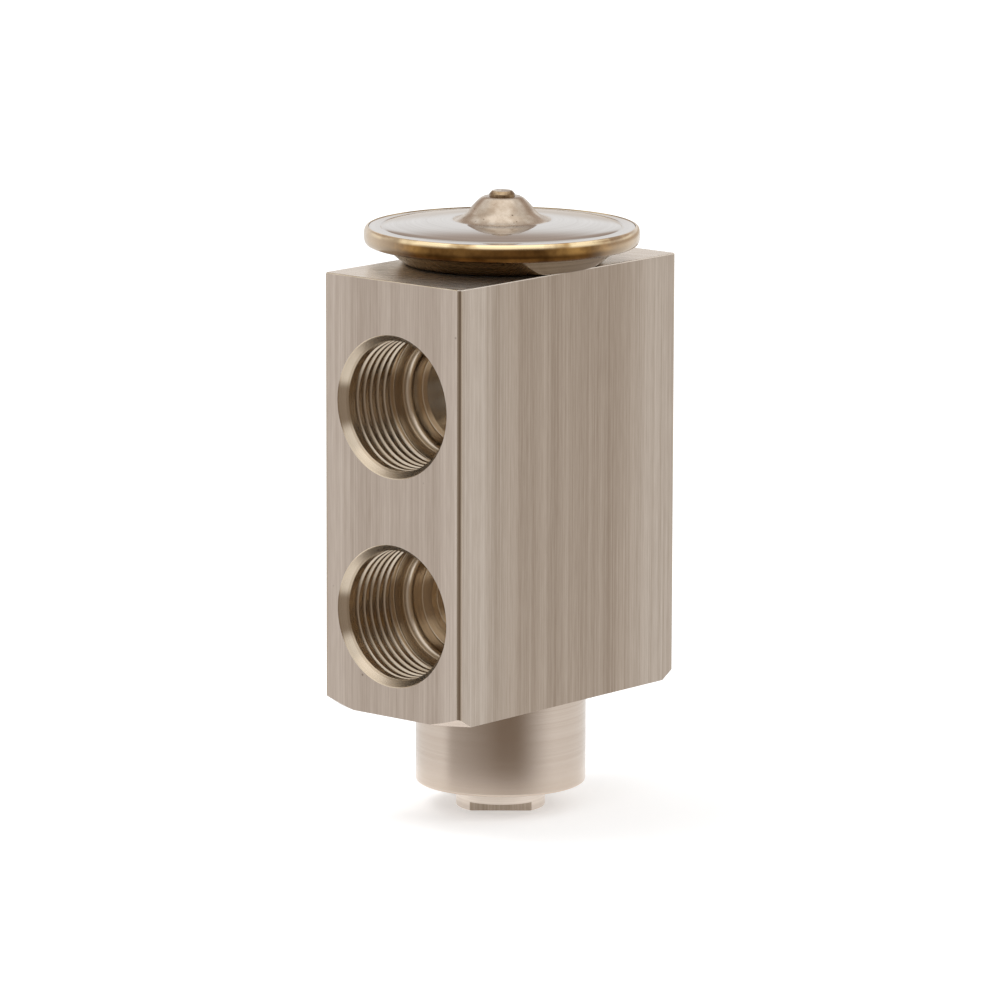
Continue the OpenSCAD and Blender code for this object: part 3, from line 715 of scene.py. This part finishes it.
seat_low, seat_high = box_of("spring_seat")
seat_r, seat_spigot_r = seat_high.x, 3.3
spring_seat = smooth(turned("brass_spring_seat", [
    (0, seat_low.z), (seat_r, seat_low.z, 0.2), (seat_r, spring_low.z - 0.02, 0.2),
    (seat_spigot_r, spring_low.z - 0.02, 0.1), (seat_spigot_r, seat_high.z, 0.4), (0, seat_high.z)]))
fit(spring_seat, "spring_follower", ["spring_seat"], brass)

# The adjusting screw is turned from bar: a nose with a groove for its rubber ring, the adjusting thread,
# and a plain end with two low flats milled for a spanner. Its thread runs in the bore of the boss.
screw_high = box_of("adjusting_screw")[1]
screw_seal_low, screw_seal_high = box_of("adjuster_seal")
screw_end_r, flats_h, flat_half, flats_turn = 7.2, 1.4, 5.2, math.radians(41)
screw_thread_z, screw_body_z = boss_z + 1.4, boss_z + 9.0
screw_r, nose_r = screw_high.x, 6.44
seal_mid = (screw_seal_low.z + screw_seal_high.z) / 2
screw_seal_r = (screw_seal_high.z - screw_seal_low.z) / 2
screw_groove = 0.9
groove_floor_r = nose_r - 1.5


def flats_tool(side):
    """Block that mills one flat on the screw's end."""
    def build(work):
        bmesh.ops.create_cube(work, size=1)
        bmesh.ops.scale(work, vec=(30, 10, 2 * flats_h), verts=work.verts)
        bmesh.ops.translate(work, vec=(0, side * (flat_half + 5), 0), verts=work.verts)
        bmesh.ops.rotate(work, cent=(0, 0, 0), matrix=Matrix.Rotation(flats_turn, 3, "Z"), verts=work.verts)
    return link("flat cutter", build)


screw = turned("adjusting_screw_body", [
    (0, 0), (screw_end_r, 0, 0.12), (screw_end_r, screw_thread_z), (screw_r, screw_thread_z + 0.7),
    (screw_r, screw_body_z - 0.6), (screw_r - 0.6, screw_body_z), (nose_r, screw_body_z),
    (nose_r, seal_mid - screw_groove, 0.08), (groove_floor_r, seal_mid - screw_groove, 0.1),
    (groove_floor_r, seal_mid + screw_groove, 0.1),
    (nose_r, seal_mid + screw_groove, 0.08), (nose_r, screw_high.z, 0.35), (0, screw_high.z)])
machine(screw, [flats_tool(-1), flats_tool(1)])
machine(screw, [thread_cutter("screw die", screw_r, screw_r - adjust_depth, adjust_pitch,
                              screw_thread_z - 1, screw_body_z + 0.5)])
screw_metal = metal("turned screw", RINGS, {}, (206, 194, 182), (220, 209, 198), (0.28, 0.38), (0.25, 0.008))
# The flats are darker partly for their milled finish and partly as painted shade from the boss that overhangs
# them.
milled = metal("milled flats with painted shade", STREAKS, {}, (150, 136, 121), (182, 168, 153), (0.35, 0.45), (0.3, 0.01))
screw.data.materials.append(screw_metal)
screw.data.materials.append(milled)
across = Vector((-math.sin(flats_turn), math.cos(flats_turn), 0))
for face in screw.data.polygons:
    on_flat = abs(face.normal.dot(across)) > 0.99 and face.center.z < flats_h * MM
    face.material_index = 1 if on_flat else 0
smooth(screw)
fit(screw, "adjuster", ["adjusting_screw"])
screw_seal = smooth(turned("adjuster_seal_ring", ring_section(
    screw_seal_high.x - screw_seal_r, seal_mid, screw_seal_r)), 60)
fit(screw_seal, "adjuster", ["adjuster_seal"], rubber)

# The power head screws into the top of the block by a turned steel neck, with a rubber ring under its foot.
# The neck's spigot is welded into the hole in the middle of the lower shell.
neck_low, neck_high = box_of("head_neck")
neck_r, spigot_r, neck_pitch, neck_depth = neck_high.x, 9.0, 1.27, 0.75
foot_z = top_z
head_seal_low, head_seal_end = box_of("head_seal")
neck = turned("threaded_neck", [
    (neck_bore_r, neck_low.z, 0.2), (neck_r - 0.8, neck_low.z, 0.05), (neck_r, neck_low.z + 0.8, 0.05),
    (neck_r, foot_z), (spigot_r, foot_z), (spigot_r, neck_high.z), (neck_bore_r, neck_high.z, 0.2)])
machine(neck, [thread_cutter("neck die", neck_r, neck_r - neck_depth, neck_pitch,
                             neck_low.z - 1, foot_z - 2.6)])
neck_metal = metal("turned neck", RINGS, {}, (168, 162, 155), (198, 192, 185), (0.18, 0.3), (0.2, 0.006))
smooth(neck)
fit(neck, "housing", ["head_neck"], neck_metal)
head_ring_r = (head_seal_end.z - head_seal_low.z) / 2
head_ring = smooth(turned("head_seal_ring", ring_section(
    head_seal_end.x - head_ring_r, (head_seal_low.z + head_seal_end.z) / 2, head_ring_r)), 60)
fit(head_ring, "housing", ["head_seal"], rubber)

# The lower shell is a dish pressed from stainless sheet: a flat foot, a sloping side and a flat flange.
# It is polished, so it mirrors the top of the block below it. Its colour is darkened and browned as painted
# shade of the gap between its flange and the block.
shell_t, foot_r, knee_r = 1.2, 15.6, 1.8
shell_high = box_of("lower_shell")[1]
flange_r = shell_high.x
rim_low, rim_high = box_of("rim_weld")
rim_z, rim_top_z = rim_low.z, rim_high.z
dish_mouth_r = flange_r - 2.0
plate_z = shell_high.z
wall_angle = math.atan((rim_z - foot_z) / (dish_mouth_r - foot_r))
mouth_inner_r = dish_mouth_r + (plate_z - rim_z) / math.tan(wall_angle) - shell_t / math.sin(wall_angle)
foot_inner_r = foot_r + shell_t / math.tan(wall_angle) - shell_t / math.sin(wall_angle)
lower_dish = smooth(turned("lower_dish", [
    (spigot_r, foot_z), (foot_r, foot_z, knee_r), (dish_mouth_r, rim_z, knee_r * 0.7), (flange_r, rim_z, 0.1),
    (flange_r, plate_z), (mouth_inner_r, plate_z, 0.8), (foot_inner_r, foot_z + shell_t, 0.9),
    (spigot_r, foot_z + shell_t)], 160))
# The dark brown of this metal is painted shade of the gap under the flange.
pressed = metal("pressed stainless with painted shade", RINGS, {"Rings_per_metre": 2600.0}, (138, 122, 100), (160, 143, 120),
                (0.12, 0.2), (0.12, 0.004))
fit(lower_dish, "housing", ["lower_shell"], pressed)

# The diaphragm is thin spring sheet with ring-shaped waves, clamped between the two flanges.
# A brass pad under it spreads its push on to the sensing pin.
spring_sheet = plain("spring sheet", (196, 196, 196), (0.16, 0.26), 900.0, metallic=1.0)
dress("diaphragm", spring_sheet)
pad_low, pad_high = box_of("diaphragm_pad")
pad_r = pad_high.x
pad = smooth(turned("brass_pad", [
    (0, pad_low.z), (pad_r - 0.5, pad_low.z, 0.1), (pad_r, pad_low.z + 0.5, 0.2), (pad_r, pad_high.z, 0.2),
    (0, pad_high.z)]))
fit(pad, "spindle", ["diaphragm_pad"], brass)

# The cover is pressed from the same sheet and polished: a flat ring at the rim, a shallow groove,
# a disc that rises a little towards the middle, and a dome. The weld of the plug has tinted the dome's top.
cover_low, cover_high = box_of("upper_shell")
plug_low, plug_high = box_of("charge_plug")
ring_w, cover_rise, dome_r, dome_side_r, dome_top_r, flare_l = 1.8, 1.0, 7.9, 5.6, 3.0, 1.1
bulge, crater, plug_r = 0.25, 0.9, 2.05
ring_fall = 0.09
cover_z, dome_z = rim_top_z + cover_rise, cover_high.z
base_z = cover_low.z
ring_r = flange_r - ring_w


def dome_points(top, foot, low, high, steps=14):
    """Points up the side of a dome, part cone and part ellipse."""
    points = []
    for k in range(steps + 1):
        share = 1 - k / steps
        r = top + (foot - top) * (share + bulge * (math.sqrt(1 - (1 - share) ** 2) - share))
        points.append((r, high - (high - low) * share))
    return points


def disc_points(outer_r, outer_z, steps=12):
    """Points from the groove up the disc, which bows upwards and is level at the foot of the dome."""
    points = []
    for k in range(steps + 1):
        share = 1 - k / steps
        points.append((dome_r + (outer_r - dome_r) * share, cover_z - (cover_z - outer_z) * share ** 1.8))
    return points


def flare_points(steps=8):
    """Points up the hollow flare that leads from the disc into the side of the dome."""
    points = []
    for k in range(1, steps):
        share = 1 - k / steps
        points.append((dome_side_r + (dome_r - dome_side_r) * share, cover_z + flare_l * (1 - share) ** 1.7))
    return points


dome_wall = shell_t * 0.8
cover = smooth(turned("polished_cover", [
    (flange_r, base_z), (flange_r, rim_top_z - ring_fall, 0.1), (ring_r, rim_top_z, 0.12),
    (ring_r - 0.3, rim_top_z - 0.12, 0.12)]
    + disc_points(ring_r - 0.6, rim_top_z + 0.1) + flare_points()
    + dome_points(dome_top_r, dome_side_r, cover_z + flare_l, dome_z)
    + [(plug_r, dome_z), (plug_r, dome_z - crater), (0, dome_z - crater), (0, dome_z - crater - dome_wall)]
    + dome_points(dome_top_r - dome_wall, dome_side_r - dome_wall,
                  cover_z - shell_t, dome_z - crater - dome_wall)[::-1]
    + [(mouth_inner_r - 0.5, base_z + 0.5), (mouth_inner_r, base_z)], 192), 30)


def weld_heat(material, centre_z, reach):
    """Mask of the metal near a weld on the axis, fading with distance."""
    tree = material.node_tree
    place = on_piece(tree)
    away = vectors(tree, "DISTANCE", place, (0, 0, centre_z * MM))
    stain = noise(tree, place, 700.0, 2.0)
    wander = sums(tree, "MULTIPLY_ADD", stain, 0.0015, away)
    return ramp(tree, wander, reach * MM, reach * 0.35 * MM)


polished = metal("polished cover", RINGS, {"Rings_per_metre": 2200.0}, (180, 173, 167), (193, 187, 182),
                 (0.05, 0.09), (0.06, 0.002))
dome_metal = metal("dome", SMUDGES, {"Patches_per_metre": 420.0}, (174, 156, 137), (202, 188, 172),
                   (0.2, 0.3), (0.3, 0.006))
stained(dome_metal, masked(dome_metal, SPECKS, Cells_per_metre=900.0, Share=0.4, Size=0.16), (130, 110, 90))
stained(dome_metal, weld_heat(dome_metal, dome_z, 4.0), (170, 144, 114))
cover.data.materials.append(polished)
cover.data.materials.append(dome_metal)
for face in cover.data.polygons:
    on_dome = face.center.xy.length < dome_r * MM and face.center.z > (cover_z + 0.002) * MM
    face.material_index = 1 if on_dome else 0
fit(cover, "housing", ["upper_shell"])

# The rim is closed by a fused bead all the way round, which the heat has left gold. Its colour also carries a
# painted highlight along the top, painted shade low down and a painted reflection at its two ends across the
# view.
# It is smooth, with the slight swell and dip of a bead that was laid by turning the head under the torch.
weld_t, fullness, bead_sway = 0.77, 2.4, 0.035
inner_r = flange_r + 0.03


def bead(work, around=256, steps=18):
    """Rounded bead with a slow sway in its width."""
    middle, half = (rim_z + rim_top_z) / 2, (rim_top_z - rim_z) / 2
    outline = []
    for j in range(steps + 1):
        share = -math.cos(math.pi * j / steps)
        swell = max(0, 1 - abs(share) ** fullness) ** (1 / fullness)
        outline.append(Vector((inner_r + weld_t * swell, middle + half * share)))
    rings = []
    for k in range(around):
        angle = 2 * math.pi * k / around
        waves = math.sin(7 * angle) * math.sin(3 * angle + 1) + 0.6 * math.sin(23 * angle + 2)
        sway = bead_sway * waves / 1.6
        ring = []
        for point in outline:
            share = max(0, (point.x - inner_r) / weld_t)
            r = point.x - share * (bead_sway - sway)
            ring.append(work.verts.new(polar(r, angle, point.y)))
        rings.append(ring)
    skin(work, rings, rings[1:] + rings[:1])


gold = metal("gold weld with painted light and shade", SMUDGES, {"Patches_per_metre": 240.0}, (112, 80, 42), (168, 128, 74),
             (0.12, 0.24), (0.3, 0.01))
tree = gold.node_tree
place = on_piece(tree)
height = wire(tree, "ShaderNodeSeparateXYZ", i0=place).outputs["Z"]
# Painted highlight: a band near the top of the bead is mixed towards pale gold, in light stretches broken up
# by noise.
highlight_crown = ease(tree, height, (rim_top_z - 0.9) * MM, (rim_top_z - 0.4) * MM)
# Painted shade: the lower part of the bead is darkened.
lower_painted_shade = ease(tree, height, (rim_z + 1.5) * MM, (rim_z + 0.7) * MM)
stained(gold, lower_painted_shade, (152, 138, 122))
run = noise(tree, place, 150.0, 3.0)
highlight_breaks = ramp(tree, run, 0.42, 0.56, 0.15)
crown_painted_highlight = sums(tree, "MULTIPLY", highlight_crown, highlight_breaks)
stained(gold, crown_painted_highlight, (255, 232, 188), "MIX")
# Painted reflection: the bead turns paler towards its two ends across the view.
pale_way = (-0.76, -0.65, 0)
ends = vectors(tree, "DOT_PRODUCT", place, pale_way)
outer = sums(tree, "ABSOLUTE", ends)
pale_ends_painted_reflection = ease(tree, outer, 0.013, 0.0215, 0.8)
stained(gold, pale_ends_painted_reflection, (208, 188, 162), "MIX")
weld = smooth(link("rim_bead", bead), 60)
fit(weld, "housing", ["rim_weld"], gold)

# After the head is charged through the hole in the dome, a small steel plug is welded into it.
plug = smooth(turned("welded_plug", [
    (0, plug_low.z), (plug_r, plug_low.z), (plug_r, dome_z + 0.45, 0.25), (1.6, plug_high.z, 0.25),
    (0, plug_high.z - 0.1)], 64), 40)
tinted = metal("heat-tinted plug", SMUDGES, {"Patches_per_metre": 900.0}, (124, 100, 74), (196, 172, 140),
               (0.18, 0.32), (0.6, 0.03))
fit(plug, "housing", ["charge_plug"], tinted)

# The studio is a pale floor that runs out of sight, white surroundings with dim areas in front and behind,
# and two soft lamps, above and at one side. The dim areas show only as reflections in the metal.
floor_half = 12.0


def floor_sheet(work):
    """Flat square floor."""
    bmesh.ops.create_grid(work, x_segments=1, y_segments=1, size=floor_half / MM)


floor = link("studio_floor", floor_sheet)
pale, tree, paint = new_material("pale floor")
place = on_piece(tree)
cloud = noise(tree, place, 3.0, 2.0)
shade = colour_mix(tree, cloud, linear((238, 238, 238)), linear((242, 242, 242)))
ray = wire(tree, "ShaderNodeLightPath")
seen = sums(tree, "MULTIPLY", ray.outputs["Is Camera Ray"], 0.35)
lift = sums(tree, "MULTIPLY_ADD", ray.outputs["Is Glossy Ray"], 0.55, seen)
feed(tree, paint, Base_Color=shade, Roughness=0.9, Emission_Color=(1, 1, 1, 1), Emission_Strength=lift)
# Away from the valve, mirrored rays pass through the floor and meet the surroundings.
from_axis = vectors(tree, "LENGTH", place)
far = ease(tree, from_axis, 0.02, 0.05)
open_to_surround = sums(tree, "MULTIPLY", far, ray.outputs["Is Glossy Ray"])
clear = wire(tree, "ShaderNodeBsdfTransparent").outputs[0]
either = wire(tree, "ShaderNodeMixShader", i0=open_to_surround, i1=paint.outputs[0], i2=clear).outputs[0]
feed(tree, tree.nodes["Material Output"], Surface=either)
floor.data.materials.append(pale)

world = bpy.data.worlds.new("studio")
bpy.context.scene.world = world
world.use_nodes = True
tree = world.node_tree
way = wire(tree, "ShaderNodeTexCoord").outputs["Generated"]
parts = wire(tree, "ShaderNodeSeparateXYZ", i0=way)
front = sums(tree, "MULTIPLY", parts.outputs["Y"], -1.0)
bearing = sums(tree, "ARCTAN2", parts.outputs["X"], front)
away = sums(tree, "ABSOLUTE", bearing)


def product(*values):
    """Values multiplied together."""
    result = values[0]
    for value in values[1:]:
        result = sums(tree, "MULTIPLY", result, value)
    return result


elevation_part = parts.outputs["Z"]
near_left = ease(tree, bearing, math.radians(-45), math.radians(-26))
slope = ramp(tree, bearing, math.radians(-26), math.radians(40), 0.0, 0.7)
deepening = sums(tree, "ADD", near_left, slope)
right_end = ease(tree, bearing, math.radians(121), math.radians(58))
dim_side = product(deepening, 1 / 1.7, right_end,
                   ease(tree, elevation_part, 0.58, 0.3), ease(tree, elevation_part, -0.64, -0.4))
turned_away = sums(tree, "SUBTRACT", bearing, math.radians(25))
far_side = sums(tree, "ABSOLUTE", turned_away)
upper_back = product(ease(tree, far_side, math.radians(98), math.radians(124)),
                     ease(tree, elevation_part, 0.24, 0.38), ease(tree, elevation_part, 0.7, 0.55))
lower_back = product(ease(tree, away, math.radians(120), math.radians(150)),
                     ease(tree, elevation_part, -0.14, -0.04), ease(tree, elevation_part, 0.15, 0.05))
overhead = ease(tree, elevation_part, 0.8, 0.93)
surround = (1, 1, 1, 1)
for area, colour in ((dim_side, (0.26, 0.21, 0.17, 1)), (upper_back, (0.57, 0.48, 0.42, 1)),
                     (lower_back, (0.68, 0.6, 0.52, 1)), (overhead, (1.35, 1.33, 1.3, 1))):
    surround = colour_mix(tree, area, surround, colour)
ray = wire(tree, "ShaderNodeLightPath")
mirrored = sums(tree, "MAXIMUM", ray.outputs["Is Glossy Ray"], ray.outputs["Is Transmission Ray"])
lit = colour_mix(tree, mirrored, (0.8, 0.8, 0.8, 1), surround)
shown = colour_mix(tree, ray.outputs["Is Camera Ray"], lit, (1, 1, 1, 1))
feed(tree, tree.nodes["Background"], Color=shown, Strength=1.0)


def toward(azimuth, elevation):
    """Direction from the valve to a place, with the azimuth counted from the front to the right."""
    return Vector((math.sin(azimuth) * math.cos(elevation), -math.cos(azimuth) * math.cos(elevation),
                   math.sin(elevation)))


def soft_lamp(name, azimuth, elevation, distance, size, power):
    """Square soft lamp aimed at the middle of the valve."""
    light = bpy.data.lights.new(name, "AREA")
    light.shape = "SQUARE"
    light.size = size
    light.energy = power
    made = bpy.data.objects.new(name, light)
    bpy.context.scene.collection.objects.link(made)
    back = toward(math.radians(azimuth), math.radians(elevation))
    made.location = Vector((0, 0, block_z * MM)) + back * distance
    made.rotation_mode = "QUATERNION"
    made.rotation_quaternion = back.to_track_quat("Z", "Y")
    made.visible_glossy = False


soft_lamp("overhead_lamp", -60, 62, 1.4, 0.7, 6.0)
soft_lamp("side_lamp", 120, 35, 1.6, 0.6, 3.0)

# The camera is a long lens at the photograph's angle, a little above the valve and to its right.
# Its place, its roll and its lens were fitted to the edges of the block in the photograph.
photo_side = 1000
lens_px = 6921.16
azimuth, elevation, roll = math.radians(40.739), math.radians(10.596), math.radians(0.149)
camera_distance = 1111.654
aim = Vector((0, 0, block_z + 35))
aim_right, aim_up = -0.206, -3.561
back = toward(azimuth, elevation)
right = Vector((math.cos(azimuth), math.sin(azimuth), 0))
up = back.cross(right)
shot = bpy.data.cameras.new("studio camera")
shot.sensor_width = 36
shot.lens = lens_px * shot.sensor_width / photo_side
shot.clip_start, shot.clip_end = 0.05, 50
camera = bpy.data.objects.new("studio camera", shot)
bpy.context.scene.collection.objects.link(camera)
camera.location = (aim + right * aim_right + up * aim_up + back * camera_distance) * MM
rolled_right = right * math.cos(roll) + up * math.sin(roll)
rolled_up = up * math.cos(roll) - right * math.sin(roll)
camera.rotation_mode = "QUATERNION"
camera.rotation_quaternion = Matrix((rolled_right, rolled_up, back)).transposed().to_quaternion()
bpy.context.scene.camera = camera
bpy.context.scene.view_settings.view_transform = "Standard"
